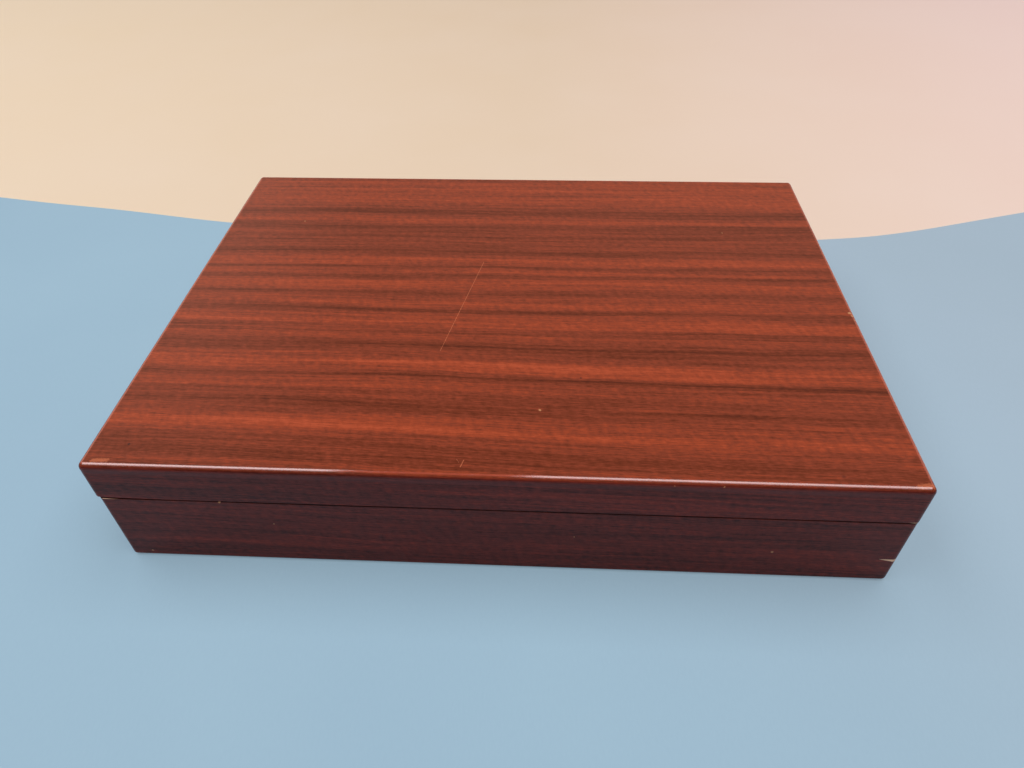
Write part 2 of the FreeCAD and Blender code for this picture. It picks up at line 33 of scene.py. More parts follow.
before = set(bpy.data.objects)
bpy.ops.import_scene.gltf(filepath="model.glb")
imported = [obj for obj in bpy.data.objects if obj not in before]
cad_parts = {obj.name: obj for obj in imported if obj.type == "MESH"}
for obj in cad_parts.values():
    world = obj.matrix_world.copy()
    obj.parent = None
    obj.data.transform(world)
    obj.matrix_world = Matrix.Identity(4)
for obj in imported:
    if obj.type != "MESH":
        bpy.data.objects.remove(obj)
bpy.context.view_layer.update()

MM = 0.001


def tint(red, green, blue):
    """A picture colour, 0 to 255, as the linear colour that nodes take."""
    def linear(level):
        level /= 255.0
        return level / 12.92 if level <= 0.04045 else ((level + 0.055) / 1.055) ** 2.4
    return (linear(red), linear(green), linear(blue), 1.0)


class Shader:
    """One procedural material, built node by node."""

    def __init__(self, name, **constants):
        self.material = bpy.data.materials.new(name)
        self.material.use_nodes = True
        self.tree = self.material.node_tree
        self.surface = self.tree.nodes["Principled BSDF"]
        for socket, amount in constants.items():
            self.surface.inputs[socket.replace("_", " ")].default_value = amount
        self.place = self.add("ShaderNodeTexCoord").outputs["Object"]

    def add(self, kind, inputs=(), **settings):
        node = self.tree.nodes.new(kind)
        for name, setting in settings.items():
            setattr(node, name, setting)
        for socket, source in dict(inputs).items():
            if isinstance(source, bpy.types.NodeSocket):
                self.tree.links.new(source, node.inputs[socket])
            else:
                node.inputs[socket].default_value = source
        return node

    def give(self, socket, source):
        self.tree.links.new(source, self.surface.inputs[socket])

    def math(self, operation, *terms, clamp=False):
        return self.add("ShaderNodeMath", enumerate(terms), operation=operation, use_clamp=clamp).outputs[0]

    def vector(self, operation, *terms):
        node = self.add("ShaderNodeVectorMath", enumerate(terms), operation=operation)
        return node.outputs["Value" if operation in ("LENGTH", "DOT_PRODUCT", "DISTANCE") else "Vector"]

    def join(self, x, y, z=0.0):
        return self.add("ShaderNodeCombineXYZ", {0: x, 1: y, 2: z}).outputs[0]

    def split(self, vector):
        return self.add("ShaderNodeSeparateXYZ", {0: vector}).outputs

    def noise(self, vector, detail=2.0, roughness=0.5, scale=1.0, distortion=0.0):
        inputs = {"Vector": vector, "Scale": scale, "Detail": detail, "Roughness": roughness,
                  "Distortion": distortion}
        return self.add("ShaderNodeTexNoise", inputs).outputs["Fac"]

    def remap(self, amount, low, high, to_low=0.0, to_high=1.0, smooth=False):
        kind = "SMOOTHSTEP" if smooth else "LINEAR"
        inputs = {0: amount, 1: low, 2: high, 3: to_low, 4: to_high}
        return self.add("ShaderNodeMapRange", inputs, interpolation_type=kind).outputs[0]

    def ramp(self, amount, stops, ease="LINEAR"):
        node = self.add("ShaderNodeValToRGB", {0: amount})
        node.color_ramp.interpolation = ease
        elements = node.color_ramp.elements
        while len(elements) < len(stops):
            elements.new(0.5)
        for element, (position, colour) in zip(elements, stops):
            element.position = position
            element.color = colour
        return node.outputs[0]

    def blend(self, factor, below, above, kind="MIX"):
        inputs = {0: factor, 6: below, 7: above}
        return self.add("ShaderNodeMix", inputs, data_type="RGBA", blend_type=kind).outputs[2]

    def bump(self, height, distance, strength=1.0, after=None):
        inputs = {"Height": height, "Distance": distance, "Strength": strength}
        if after is not None:
            inputs["Normal"] = after
        return self.add("ShaderNodeBump", inputs).outputs[0]


# Camera: solved from the chest's edges in the photograph

camera = bpy.data.cameras.new("camera")
camera.sensor_width = 36.0
camera.lens = 25.578
camera.clip_start = 0.01
camera.clip_end = 50.0
eye = bpy.data.objects.new("camera", camera)
eye.location = (0.02046, -0.34568, 0.31835)
eye.rotation_euler = Euler([math.radians(a) for a in (47.1461, 0.8086, 2.8541)], "XYZ")
bpy.context.scene.collection.objects.link(eye)
bpy.context.scene.camera = eye
bpy.context.scene.view_settings.view_transform = "Standard"


# Light: two wide soft panels overhead

LIGHT_HEIGHT = 1.6
PANELS = {"left": (-1.5, -0.52), "right": (-0.02, 1.2)}
PANEL_DEPTH = (-0.95, 0.8)
PANEL_RADIANCE = {"left": 3.2, "right": 2.76}
PANEL_COLOUR = (0.97, 1.0, 1.03)


def overhead(name, span, depth, radiance, height, colour):
    data = bpy.data.lights.new(name, "AREA")
    data.shape = "RECTANGLE"
    data.size = span[1] - span[0]
    data.size_y = depth[1] - depth[0]
    data.energy = radiance * math.pi * data.size * data.size_y
    data.color = colour
    light = bpy.data.objects.new(name, data)
    light.location = ((span[0] + span[1]) / 2, (depth[0] + depth[1]) / 2, height)
    bpy.context.scene.collection.objects.link(light)
    return light


for side, span in PANELS.items():
    overhead(f"panel_{side}", span, PANEL_DEPTH, PANEL_RADIANCE[side], LIGHT_HEIGHT, PANEL_COLOUR)

world = bpy.data.worlds.new("room")
world.use_nodes = True
bpy.context.scene.world = world
BACKDROP = tint(240, 213, 196)


def light_the_room():
    """Pale behind everything; as light, weak from all round, and brighter behind for the gloss."""
    tree = world.node_tree
    tree.nodes.clear()
    new = tree.nodes.new
    link = tree.links.new
    out = new("ShaderNodeOutputWorld")
    path = new("ShaderNodeLightPath")
    direction = new("ShaderNodeTexCoord")
    parts = new("ShaderNodeSeparateXYZ")
    link(direction.outputs["Generated"], parts.inputs[0])

    def graded(axis, low, high, at_low, at_high):
        node = new("ShaderNodeMapRange")
        node.interpolation_type = "SMOOTHSTEP"
        for socket, amount in zip((1, 2, 3, 4), (low, high, at_low, at_high)):
            node.inputs[socket].default_value = amount
        link(parts.outputs[axis], node.inputs[0])
        return node.outputs[0]

    def times(first, second):
        node = new("ShaderNodeMath")
        node.operation = "MULTIPLY"
        link(first, node.inputs[0])
        link(second, node.inputs[1])
        return node.outputs[0]

    behind = times(graded("Y", -0.2, 0.7, 0.02, 0.5), graded("Z", 0.5, 0.85, 1.0, 0.22))
    behind = times(behind, graded("X", -0.48, -0.22, 2.1, 1.0))
    seen = new("ShaderNodeBackground")
    seen.inputs["Color"].default_value = BACKDROP
    glossy = new("ShaderNodeBackground")
    glossy.inputs["Color"].default_value = BACKDROP
    link(behind, glossy.inputs["Strength"])
    soft = new("ShaderNodeBackground")
    soft.inputs["Color"].default_value = (0.93, 0.96, 1.0, 1.0)
    soft.inputs["Strength"].default_value = 0.16
    first = new("ShaderNodeMixShader")
    link(path.outputs["Is Glossy Ray"], first.inputs[0])
    link(soft.outputs[0], first.inputs[1])
    link(glossy.outputs[0], first.inputs[2])
    last = new("ShaderNodeMixShader")
    link(path.outputs["Is Camera Ray"], last.inputs[0])
    link(first.outputs[0], last.inputs[1])
    link(seen.outputs[0], last.inputs[2])
    link(last.outputs[0], out.inputs["Surface"])


light_the_room()


# Wood

FRONT_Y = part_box("base_front_wall")[0].y / MM
TOP_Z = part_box("lid_top_panel")[1].z / MM
DARK_GRAIN = tint(90, 38, 24)
BROWN_GRAIN = tint(115, 50, 29)
RED_GRAIN = tint(137, 61, 40)
LIGHT_GRAIN = tint(163, 69, 41)
PALE_GRAIN = tint(185, 81, 50)
BARE_WOOD = tint(206, 140, 96)
EDGE_GLOSS = 2.8
# Painted shade: upright faces of the wood are multiplied by this, so they are darker than the top.
UPRIGHT_PAINTED_SHADE = (0.58, 0.42, 0.62, 1.0)
PARTING_Z = (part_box("base_front_wall")[1].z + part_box("lid_front_wall")[0].z) / 2 / MM


RIBBONS = [
    # place across the top in millimetres, tone of the wood there
    (-140, 0.50), (-125, 0.36), (-119, 0.50), (-112, 0.88), (-106, 0.62), (-99, 0.40), (-93, 0.34), (-85, 0.64),
    (-79, 0.50), (-75, 0.30), (-71, 0.72), (-65, 0.90), (-59, 0.50), (-49, 0.34), (-41, 0.62), (-37, 0.42),
    (-29, 0.80), (-21, 0.56), (-18, 0.32), (-13, 0.74), (-2, 0.42), (8, 0.80), (15, 0.40), (20, 0.74),
    (25, 0.42), (31, 0.82), (42, 0.36), (57, 0.48), (74, 0.35), (79, 0.77), (90, 0.33), (103, 0.69),
]
VEINS = [
    # place across the top in millimetres, half width, depth: the long thin dark lines
    (-131, 0.8, 0.5), (-96, 0.8, 0.8), (-75.3, 0.9, 1.0), (-50, 1.0, 0.7), (-38, 0.7, 0.9),
    (-18, 0.8, 0.9), (-2, 0.8, 0.7), (25, 0.9, 0.7), (42, 1.1, 0.8), (90, 1.0, 0.9),
]
GRAIN_LEAN = 0.025


def grain_place(s, sides):
    """Millimetres along and across the grain. The pattern runs over the long edges.

    sides is 1 for the short walls, 0 for the long ones, and None to go by the face's direction.
    """
    x, y, z = s.split(s.vector("MULTIPLY", s.place, (1000.0, 1000.0, 1000.0)))
    drop = s.math("SUBTRACT", z, TOP_Z)
    across_long = s.math("SUBTRACT", y, s.math("MULTIPLY", s.math("SIGN", y), drop))
    across_side = s.math("SUBTRACT", x, s.math("MULTIPLY", s.math("SIGN", x), drop))
    if sides == 0:
        return x, across_long
    if sides == 1:
        return y, across_side
    facing = s.split(s.add("ShaderNodeTexCoord").outputs["Normal"])[0]
    chosen = s.math("GREATER_THAN", s.math("ABSOLUTE", facing), 0.7)
    def pick(first, second):
        return s.add("ShaderNodeMix", {0: chosen, 2: first, 3: second}).outputs[0]
    return pick(x, y), pick(across_long, across_side)


def to_segment(s, start, end):
    """Distance in millimetres from a line between two points, and the share of the way along it."""
    span = Vector(end) - Vector(start)
    place = s.vector("MULTIPLY", s.place, (1000.0, 1000.0, 1000.0))
    from_start = s.vector("SUBTRACT", place, start)
    share = s.math("DIVIDE", s.vector("DOT_PRODUCT", from_start, tuple(span)), span.length_squared, clamp=True)
    along = s.add("ShaderNodeVectorMath", {0: tuple(span), "Scale": share}, operation="SCALE").outputs[0]
    return s.vector("LENGTH", s.vector("SUBTRACT", from_start, along)), share


SCRATCHES = [
    # start, end, half width
    ((-19.1, 31.1, TOP_Z), (-35.7, -53.9, TOP_Z), 0.15),
    ((-16.9, -133.7, TOP_Z), (-15.7, -129.6, TOP_Z), 0.20),
    ((-19.1, -128.9, TOP_Z), (-17.8, -131.0, TOP_Z), 0.07),
]
RIGHT_EDGE_PAINTED_HIGHLIGHT = [
    # start, end, half width: a painted highlight, a light line along the right top edge
    ((189.9, -133.0, TOP_Z - 0.65), (189.9, 60.0, TOP_Z - 0.65), 0.75),
    ((189.9, 60.0, TOP_Z - 0.65), (189.9, 125.0, TOP_Z - 0.65), 0.5),
]
SPECKS = [
    # place, radius: finish knocked out
    ((-142.5, 76.7, TOP_Z), 0.5),
    ((18.1, -96.2, TOP_Z), 0.65),
    ((131.4, 68.8, TOP_Z), 0.45),
    ((-178.6, FRONT_Y, 4.7), 0.55),
    ((-109.3, FRONT_Y, 30.7), 0.4),
    ((35.8, FRONT_Y, 28.2), 0.35),
    ((130.4, FRONT_Y, 21.3), 0.7),
    ((188.2, -14.0, TOP_Z - 0.05), 1.0),
    ((189.0, -16.5, TOP_Z - 0.1), 0.9),
    ((189.2, -20.0, TOP_Z - 0.2), 0.6),
    ((77.9, FRONT_Y + 0.5, 68.0), 0.5),
    ((99.4, FRONT_Y + 0.5, 68.2), 0.45),
    ((-131.8, FRONT_Y, 46.4), 0.7),
]
WORN = [
    # start, end, half width: finish rubbed through
    ((-185.2, -136.0, TOP_Z), (-178.8, -135.5, TOP_Z), 1.0),
    ((183.0, -137.2, TOP_Z - 0.2), (189.0, -136.4, TOP_Z - 0.3), 1.3),
]
SPLINTERS = [
    # point, broad end, half width there: bare wood where a splinter came away
    ((181.0, FRONT_Y, 18.4), (190.9, FRONT_Y, 17.3), 1.3),
    ((184.5, FRONT_Y, 47.4), (191.2, FRONT_Y, 47.2), 0.45),
    ((-174.0, FRONT_Y, 46.5), (-190.4, FRONT_Y, 46.5), 0.3),
]
DARK_SPOTS = [
    # place, radius, strength
    ((-172.8, -125.5, TOP_Z), 0.9, 0.85),
    ((38.2, -72.6, TOP_Z), 0.7, 0.8),
    ((151.9, -133.0, TOP_Z), 1.3, 0.4),
]


def grey_stop(place, level):
    """A ramp's stop for a place across the top in millimetres."""
    return (place + 140.0) / 280.0, (level, level, level, 1.0)


def union(s, masks):
    whole = masks[0]
    for mask in masks[1:]:
        whole = s.math("MAXIMUM", whole, mask)
    return whole


def mahogany(name, sides, coat, contrast=1.0):
    """Ribbon mahogany under a thin worn lacquer. Upright faces get painted shade: darker and redder than the top."""
    s = Shader(name, Metallic=0.0, IOR=1.45, Specular_IOR_Level=0.02, Coat_Weight=coat,
               Coat_Roughness=0.09)
    u, v = grain_place(s, sides)
    slow = s.noise(s.join(s.math("MULTIPLY", u, 1 / 230), s.math("MULTIPLY", v, 1 / 60)), detail=1)
    quick = s.noise(s.join(s.math("MULTIPLY", u, 1 / 42), s.math("MULTIPLY", v, 1 / 9), 3.7), detail=2)
    lean = s.math("MULTIPLY", u, s.remap(v, -140.0, 0.0, GRAIN_LEAN, 0.0))
    wander = s.math("MULTIPLY_ADD", s.math("SUBTRACT", slow, 0.5), 8.0, lean)
    wander = s.math("MULTIPLY_ADD", s.math("SUBTRACT", quick, 0.5), 2.6, wander)
    w = s.math("ADD", v, wander)

    def fibre(length, width, seed, detail=2, roughness=0.5):
        """Noise about zero, drawn out along the grain."""
        place = s.join(s.math("MULTIPLY", u, 1 / length), s.math("MULTIPLY", w, 1 / width), seed)
        return s.math("SUBTRACT", s.noise(place, detail=detail, roughness=roughness), 0.5)

    whole_width = s.remap(w, -140.0, 140.0)
    ribbon = s.ramp(whole_width, [grey_stop(place, tone) for place, tone in RIBBONS], ease="EASE")
    veins = s.ramp(whole_width, [
        grey_stop(place + side * half, 0.0 if side else depth) for place, half, depth in VEINS for side in (-1, 0, 1)
    ])
    veins = s.math("MULTIPLY", veins, s.remap(fibre(130, 9.0, 71.0), -0.12, 0.1, 0.2, 1.0))
    ribbon = s.math("MULTIPLY", s.math("SUBTRACT", ribbon, 0.52), s.math("MULTIPLY_ADD", fibre(150, 16, 5.1), 1.6, 1.0))
    open_figure = s.remap(ribbon, -0.2, 0.35, 0.45, 1.0)
    slanted = s.math("MULTIPLY_ADD", v, 0.25, u)
    figure = s.noise(s.join(s.math("MULTIPLY", slanted, 1 / 3.4), s.math("MULTIPLY", w, 1 / 5.5), 31.0), detail=3, roughness=0.6)
    figure = s.math("MULTIPLY", s.math("SUBTRACT", figure, 0.5), open_figure)
    tone = s.math("MULTIPLY_ADD", ribbon, 0.52 * contrast, 0.55)
    for layer, strength in (
        (fibre(260, 7.0, 0.0, 3), 0.34),
        (fibre(150, 2.4, 11.3, 3, 0.6), 0.50),
        (fibre(45, 0.8, 23.1, 2, 0.6), 0.42),
        (fibre(4, 0.6, 57.0, 2), 0.52),
        (figure, 0.54),
        (veins, -0.22),
    ):
        tone = s.math("MULTIPLY_ADD", layer, strength * contrast, tone)
    colour = s.ramp(tone, [(0.24, DARK_GRAIN), (0.40, BROWN_GRAIN), (0.55, RED_GRAIN), (0.72, LIGHT_GRAIN),
                           (0.90, PALE_GRAIN)])
    pores = s.remap(fibre(7, 0.3, 41.0, 1), 0.12, 0.24)
    colour = s.blend(s.math("MULTIPLY", pores, 0.5), colour, DARK_GRAIN)
    upward = s.split(s.add("ShaderNodeTexCoord").outputs["Normal"])[2]
    # Painted shade: faces that stand upright are darkened, and the top is left as it is.
    upright_painted_shade = s.remap(s.math("ABSOLUTE", upward), 0.45, 0.92, 1.0, 0.0, smooth=True)
    # A band on the rounded top edges: a glossier coat, and a painted highlight in the colour, lighter and redder.
    polished_and_painted_highlight = s.math("MULTIPLY", s.remap(upward, 0.88, 0.95), s.remap(upward, 0.985, 0.996, 1.0, 0.0))
    s.give("Coat IOR", s.remap(polished_and_painted_highlight, 0.0, 1.0, 1.45, EDGE_GLOSS))
    colour = s.blend(s.math("MULTIPLY", polished_and_painted_highlight, 0.55), colour, tint(206, 92, 68))
    colour = s.blend(upright_painted_shade, colour, s.blend(1.0, colour, UPRIGHT_PAINTED_SHADE, "MULTIPLY"))
    # Painted shade: a dark line along the parting between lid and base.
    height = s.math("MULTIPLY", s.split(s.place)[2], 1000.0)
    parting_painted_shade = s.remap(s.math("ABSOLUTE", s.math("SUBTRACT", height, PARTING_Z)), 0.25, 0.8, 0.8, 0.0)
    colour = s.blend(parting_painted_shade, colour, tint(14, 8, 10))

    ragged = s.math("SUBTRACT", s.noise(s.place, detail=3, scale=900.0), 0.5)
    scratch = union(s, [
        s.remap(s.math("MULTIPLY_ADD", ragged, 0.4, to_segment(s, start, end)[0]), half * 0.5, half * 1.5, 1, 0)
        for start, end, half in SCRATCHES
    ])
    # Painted highlight along the right top edge.
    edge = union(s, [
        s.remap(s.math("MULTIPLY_ADD", ragged, 1.4, to_segment(s, start, end)[0]), half * 0.5, half * 1.4, 1, 0)
        for start, end, half in RIGHT_EDGE_PAINTED_HIGHLIGHT
    ])
    specks = union(s, [
        s.remap(s.math("ADD", s.vector("DISTANCE", s.vector("MULTIPLY", s.place, (1000.0,) * 3), place), ragged),
                radius * 0.7, radius * 1.2, 1, 0)
        for place, radius in SPECKS
    ])
    worn = union(s, [
        s.remap(s.math("MULTIPLY_ADD", ragged, 3.0, to_segment(s, start, end)[0]), half * 0.6, half * 1.3, 1, 0)
        for start, end, half in WORN
    ])
    splinters = []
    for start, end, half in SPLINTERS:
        distance, share = to_segment(s, start, end)
        width = s.math("MULTIPLY", share, half)
        splinters.append(s.math("MULTIPLY", s.math("SUBTRACT", width, distance), 8.0, clamp=True))
    splinter = union(s, splinters)
    spots = union(s, [
        s.remap(s.vector("DISTANCE", s.vector("MULTIPLY", s.place, (1000.0,) * 3), place), radius * 0.3, radius, strength, 0)
        for place, radius, strength in DARK_SPOTS
    ])
    colour = s.blend(s.math("MULTIPLY", scratch, 0.55), colour, tint(224, 124, 84))
    # Painted highlight: the light line along the right top edge.
    colour = s.blend(s.math("MULTIPLY", edge, 0.7), colour, tint(214, 128, 96))
    colour = s.blend(s.math("MULTIPLY", specks, 0.85), colour, BARE_WOOD)
    colour = s.blend(s.math("MULTIPLY", worn, 0.6), colour, tint(206, 112, 74))
    colour = s.blend(splinter, colour, tint(255, 198, 160))
    colour = s.blend(spots, colour, tint(52, 34, 32))
    s.give("Base Color", colour)

    rubbed = s.noise(s.vector("MULTIPLY", s.place, (14.0, 14.0, 14.0)), detail=3)
    matt = s.math("MAXIMUM", s.math("MAXIMUM", specks, worn), splinter)
    roughness = s.math("MULTIPLY_ADD", matt, 0.35, s.remap(rubbed, 0.3, 0.7, 0.26, 0.38))
    s.give("Roughness", roughness)
    peel = s.noise(s.place, detail=2, scale=260.0)
    height = s.math("SUBTRACT", s.math("MULTIPLY", peel, 0.5), s.math("MULTIPLY", pores, 0.35))
    height = s.math("SUBTRACT", height, s.math("MAXIMUM", scratch, specks))
    s.give("Normal", s.bump(height, 0.00006, 0.6))
    s.give("Coat Normal", s.bump(height, 0.00003, 0.5))
    return s.material


wood = {
    "long": mahogany("mahogany_long", 0, 0.45, 1.5),
    "short": mahogany("mahogany_short", 1, 0.45, 1.5),
    "top": mahogany("mahogany_top", None, 0.6),
}


# Other hard surfaces

def plywood():
    s = Shader("plywood_bottom", Specular_IOR_Level=0.3)
    stretched = s.vector("MULTIPLY", s.place, (14.0, 260.0, 260.0))
    grain = s.noise(stretched, detail=4, roughness=0.6)
    flecks = s.remap(s.noise(s.vector("MULTIPLY", s.place, (160.0, 1900.0, 1900.0)), detail=1), 0.6, 0.72)
    colour = s.ramp(grain, [(0.3, tint(150, 108, 70)), (0.7, tint(196, 154, 108))])
    s.give("Base Color", s.blend(s.math("MULTIPLY", flecks, 0.4), colour, tint(110, 74, 46)))
    s.give("Roughness", s.remap(grain, 0.3, 0.7, 0.6, 0.75))
    s.give("Normal", s.bump(grain, 0.0001, 0.5))
    return s.material


def brass():
    """Old hinge brass: browned, brighter where it is rubbed, with fine rolling lines."""
    s = Shader("brass_old", Metallic=1.0)
    cloud = s.noise(s.place, detail=4, scale=220.0, roughness=0.6)
    stain = s.remap(s.noise(s.place, detail=5, scale=700.0), 0.5, 0.68, smooth=True)
    rolled = s.noise(s.vector("MULTIPLY", s.place, (120.0, 5200.0, 5200.0)), detail=2)
    colour = s.ramp(cloud, [(0.3, tint(150, 112, 58)), (0.55, tint(188, 148, 84)), (0.75, tint(212, 176, 108))])
    s.give("Base Color", s.blend(s.math("MULTIPLY", stain, 0.55), colour, tint(92, 62, 34)))
    s.give("Roughness", s.math("MULTIPLY_ADD", stain, 0.2, s.remap(rolled, 0.3, 0.7, 0.26, 0.4)))
    s.give("Normal", s.bump(rolled, 0.00002, 0.6))
    return s.material


def screw_brass(node):
    """The same brass with a worn slot, each turned its own way, over every screw's head; the slot's dark colour is
    painted shade.
    """
    s = Shader(f"brass_{node}", Metallic=1.0)
    low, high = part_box(node)
    half = (high.y - low.y) / 2
    x, y, z = s.split(s.place)
    across = sorted({round(vertex.co.x, 4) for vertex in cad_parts[node].data.vertices})
    starts = [across[0]] + [b for a, b in zip(across, across[1:]) if b - a > 0.004]
    slots = []
    for number, start in enumerate(starts):
        turn = 0.5 + 1.9 * number
        from_x = s.math("SUBTRACT", x, start + half)
        from_y = s.math("SUBTRACT", y, (low.y + high.y) / 2)
        off = s.math("MULTIPLY_ADD", from_x, math.cos(turn), s.math("MULTIPLY", from_y, math.sin(turn)))
        near = s.remap(s.math("ABSOLUTE", from_x), 1.2 * half, 1.3 * half, 1.0, 0.0)
        slots.append(s.math("MULTIPLY", near, s.remap(s.math("ABSOLUTE", off), 0.00020, 0.00028, 1.0, 0.0)))
    slot = union(s, slots)
    stain = s.remap(s.noise(s.place, detail=4, scale=900.0), 0.4, 0.7, smooth=True)
    colour = s.blend(s.math("MULTIPLY", stain, 0.5), tint(204, 164, 98), tint(120, 84, 44))
    # Painted shade: the slot is coloured dark.
    s.give("Base Color", s.blend(slot, colour, tint(40, 26, 16)))
    s.give("Roughness", s.math("MULTIPLY_ADD", slot, 0.4, s.remap(stain, 0.0, 1.0, 0.28, 0.45)))
    s.give("Normal", s.bump(s.math("SUBTRACT", 1.0, slot), 0.0003))
    return s.material


def cloth(name, dark, light, lines=2600.0):
    """Napped cotton flannel: a fine twill under short fibres, rubbed lighter in clouds."""
    s = Shader(name, Roughness=0.92, Specular_IOR_Level=0.15, Sheen_Weight=0.55, Sheen_Roughness=0.45)
    s.surface.inputs["Sheen Tint"].default_value = tint(196, 158, 128)
    x, y, z = s.split(s.place)
    slope = s.math("ADD", s.math("ADD", x, y), z)
    across = s.math("SUBTRACT", s.math("SUBTRACT", x, y), z)
    twill = s.math("SINE", s.math("MULTIPLY", slope, lines))
    picks = s.math("SINE", s.math("MULTIPLY", across, lines * 1.7))
    weave = s.math("MULTIPLY_ADD", picks, 0.35, twill)
    fibres = s.noise(s.place, detail=4, scale=2400.0, roughness=0.7, distortion=0.6)
    clouds = s.noise(s.place, detail=3, scale=42.0)
    tone = s.math("MULTIPLY_ADD", weave, 0.06, s.math("ADD", s.math("MULTIPLY", fibres, 0.6), s.math("MULTIPLY", clouds, 0.4)))
    s.give("Base Color", s.ramp(tone, [(0.3, dark), (0.68, light)]))
    height = s.math("MULTIPLY_ADD", weave, 0.12, fibres)
    s.give("Normal", s.bump(height, 0.00035, 0.8))
    return s.material


metal = brass()
panel_wood = plywood()
flannel = cloth("flannel_brown", tint(98, 68, 50), tint(160, 118, 90))
felt = cloth("felt_brown", tint(54, 40, 32), tint(92, 70, 56), 900.0)


def dress(node, material):
    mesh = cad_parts[node].data
    mesh.materials.clear()
    mesh.materials.append(material)


for body in ("base", "lid"):
    for wall in ("front", "back"):
        dress(f"{body}_{wall}_wall", wood["long"])
    for wall in ("left", "right"):
        dress(f"{body}_{wall}_wall", wood["short"])
    dress(f"{body}_hinge_screws", screw_brass(f"{body}_hinge_screws"))
    for side in ("left", "right"):
        dress(f"{side}_hinge_{body}_leaf", metal)
dress("left_hinge_pin", metal)
dress("right_hinge_pin", metal)
dress("lid_top_panel", wood["top"])
dress("base_bottom_panel", panel_wood)


# Soft pieces

def lattice(low, high, edge, step):
    """Places along one side of a board: close together at both rounded ends."""
    count = max(1, round((high - low - 2 * edge) / step))
    bends = [0.0, 0.3 * edge, 0.65 * edge]
    middle = [low + edge + (high - low - 2 * edge) * i / count for i in range(count + 1)]
    return [low + b for b in bends] + middle + [high - b for b in reversed(bends)]


def soft_board(name, node, body, material, edge=0.0006, puff=0.00012, step=0.004):
    """Cloth drawn over a thin board or glued down: soft rounded edges and a faintly uneven face."""
    low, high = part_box(node)
    size = high - low
    edge = min(edge, min(size) * 0.45)
    lines = [lattice(low[a], high[a], edge, step) for a in range(3)]
    last = [len(line) - 1 for line in lines]
    found, points, faces = {}, [], []

    def corner(key):
        if key not in found:
            flat = Vector([lines[a][key[a]] for a in range(3)])
            core = Vector([min(max(flat[a], low[a] + edge), high[a] - edge) for a in range(3)])
            out = (flat - core).normalized()
            wave = 0.5 - 0.5 * noise.noise(flat * 90.0)
            found[key] = len(points)
            points.append(core + out * (edge - puff * wave))
        return found[key]

    for axis in range(3):
        first, second = (axis + 1) % 3, (axis + 2) % 3
        for end in (0, last[axis]):
            for i in range(last[first]):
                for j in range(last[second]):
                    loop = []
                    for di, dj in ((0, 0), (1, 0), (1, 1), (0, 1)):
                        key = [0, 0, 0]
                        key[axis], key[first], key[second] = end, i + di, j + dj
                        loop.append(corner(tuple(key)))
                    faces.append(loop if end else loop[::-1])
    data = bpy.data.meshes.new(name)
    data.from_pydata(points, [], faces)
    data.polygons.foreach_set("use_smooth", [True] * len(data.polygons))
    piece = bpy.data.objects.new(name, data)
    bpy.context.scene.collection.objects.link(piece)
    data.materials.append(material)
    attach(piece, body)
    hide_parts(node)
    return piece


soft_board("underside_felt_sheet", "underside_felt", "base", felt, 0.0002, 0.00004, 0.006)
soft_board("base_floor_flannel", "base_floor_lining", "base", flannel)
soft_board("lid_panel_flannel", "lid_panel_lining", "lid", flannel)
for body in ("base", "lid"):
    for wall in ("front", "back", "left", "right"):
        soft_board(f"{body}_{wall}_flannel", f"{body}_{wall}_lining", body,
                   flannel)


def covered_bar(name, node, body, voxel=0.0011):
    """A wooden bar under tightly drawn flannel: the bar's own form, softened, with faint pulls in the cloth."""
    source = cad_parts[node]
    data = source.data.copy()
    piece = bpy.data.objects.new(name, data)
    bpy.context.scene.collection.objects.link(piece)
    remesh = piece.modifiers.new("skin", "REMESH")
    remesh.mode = "VOXEL"
    remesh.voxel_size = voxel
    relax = piece.modifiers.new("relax", "SMOOTH")
    relax.factor = 0.5
    relax.iterations = 6
    graph = bpy.context.evaluated_depsgraph_get()
    skin = bpy.data.meshes.new_from_object(piece.evaluated_get(graph))
    piece.modifiers.clear()
    piece.data = skin
    skin.name = name
    outward = [vertex.normal.copy() for vertex in skin.vertices]
    for vertex, normal in zip(skin.vertices, outward):
        soft = noise.noise(vertex.co * 160.0) * 0.6 + noise.noise(vertex.co * 420.0) * 0.25
        vertex.co -= normal * 0.00022 * (0.6 + soft)
    skin.polygons.foreach_set("use_smooth", [True] * len(skin.polygons))
    skin.materials.clear()
    skin.materials.append(flannel)
    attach(piece, body)
    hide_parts(node)
    return piece


covered_bar("serving_divider_cover", "serving_divider", "base")
covered_bar("front_slot_rack_cover", "front_slot_rack", "base")
covered_bar("back_slot_rack_cover", "back_slot_rack", "base")
covered_bar("knife_blade_rack_cover", "knife_blade_rack", "lid")
covered_bar("knife_handle_rack_cover", "knife_handle_rack", "lid")


# Floor: pale blue paper whose far edge curves behind the chest, on pale warm ground

FAR_EDGE = [
    (-1.28, 0.406), (-0.79, 0.292), (-0.479, 0.230), (-0.357, 0.210), (-0.243, 0.190), (-0.099, 0.176),
    (0.050, 0.169), (0.160, 0.170), (0.240, 0.177), (0.307, 0.189), (0.421, 0.225), (0.752, 0.332), (1.31, 0.507),
]
NEAR_EDGE_Y = -1.6


def soften_shadow(s, share):
    """Part of the colour is seen as it is, so that the shadow on it stays faint, as photographed."""
    path = s.add("ShaderNodeLightPath").outputs["Is Camera Ray"]
    glow = s.add("ShaderNodeEmission", {"Color": s.surface.inputs["Base Color"].links[0].from_socket})
    mix = s.add("ShaderNodeMixShader", {
        0: s.math("MULTIPLY", path, share), 1: s.surface.outputs[0], 2: glow.outputs[0],
    })
    s.tree.links.new(mix.outputs[0], s.tree.nodes["Material Output"].inputs["Surface"])


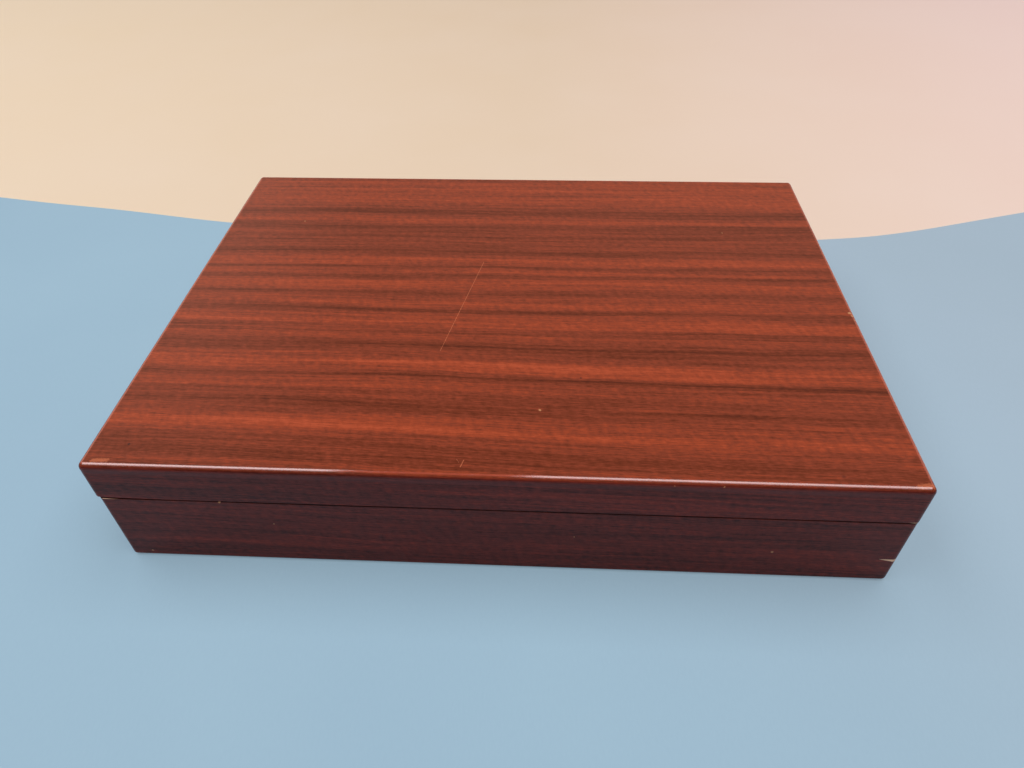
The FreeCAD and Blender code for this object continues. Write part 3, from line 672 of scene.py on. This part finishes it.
def floor_paper():
    s = Shader("floor_paper", Specular_IOR_Level=0.1)
    x, y, z = s.split(s.place)
    cloud = s.noise(s.place, detail=3, scale=5.0)
    fibres = s.noise(s.vector("MULTIPLY", s.place, (900.0, 260.0, 900.0)), detail=3)
    tone = s.math("MULTIPLY_ADD", fibres, 0.3, s.math("MULTIPLY", cloud, 0.7))
    cool = s.ramp(tone, [(0.35, tint(162, 190, 208)), (0.65, tint(166, 194, 211))])
    grey = s.ramp(tone, [(0.35, tint(171, 188, 201)), (0.65, tint(175, 192, 206))])
    side = s.math("MULTIPLY_ADD", y, 0.5, x)
    s.give("Base Color", s.blend(s.remap(side, -0.1, 0.4, smooth=True), cool, grey))
    s.give("Roughness", s.remap(fibres, 0.3, 0.7, 0.7, 0.8))
    s.give("Normal", s.bump(fibres, 0.0001, 0.3))
    soften_shadow(s, 0.4)
    return s.material


def ground_cloth():
    s = Shader("ground_cloth", Specular_IOR_Level=0.1)
    x, y, z = s.split(s.place)
    cloud = s.noise(s.place, detail=4, scale=6.0)
    along = s.ramp(s.remap(x, -1.4, 1.4), [
        (0.15, tint(251, 226, 195)), (0.5, tint(236, 209, 182)), (0.85, tint(255, 221, 219)),
    ])
    colour = s.blend(s.remap(cloud, 0.3, 0.7, 0.0, 0.12), along, tint(250, 232, 222))
    away = s.remap(s.vector("LENGTH", s.place), 1.2, 3.5, smooth=True)
    s.give("Base Color", s.blend(away, colour, BACKDROP))
    s.give("Roughness", s.remap(cloud, 0.3, 0.7, 0.8, 0.9))
    soften_shadow(s, s.remap(away, 0.0, 1.0, 0.5, 1.0))
    return s.material


def flat_sheet(name, outline, height, material):
    data = bpy.data.meshes.new(name)
    data.from_pydata([(x, y, height) for x, y in outline], [], [list(range(len(outline)))])
    data.materials.append(material)
    sheet = bpy.data.objects.new(name, data)
    bpy.context.scene.collection.objects.link(sheet)
    return sheet


def rounded_line(points, steps=8):
    """A smooth line through the points."""
    line = []
    for i in range(len(points) - 1):
        a, b, c, d = (Vector(points[max(0, min(len(points) - 1, i + k))]) for k in (-1, 0, 1, 2))
        for step in range(steps):
            t = step / steps
            line.append(tuple(0.5 * (2 * b + (c - a) * t + (2 * a - 5 * b + 4 * c - d) * t * t
                                     + (3 * b - a - 3 * c + d) * t ** 3)))
    return line + [points[-1]]


edge = rounded_line(FAR_EDGE)
flat_sheet("floor", [(edge[0][0], NEAR_EDGE_Y), (edge[-1][0], NEAR_EDGE_Y)] + edge[::-1], 0.0, floor_paper())
flat_sheet("ground", [(-6.0, -6.0), (6.0, -6.0), (6.0, 6.0), (-6.0, 6.0)], -0.0015, ground_cloth())
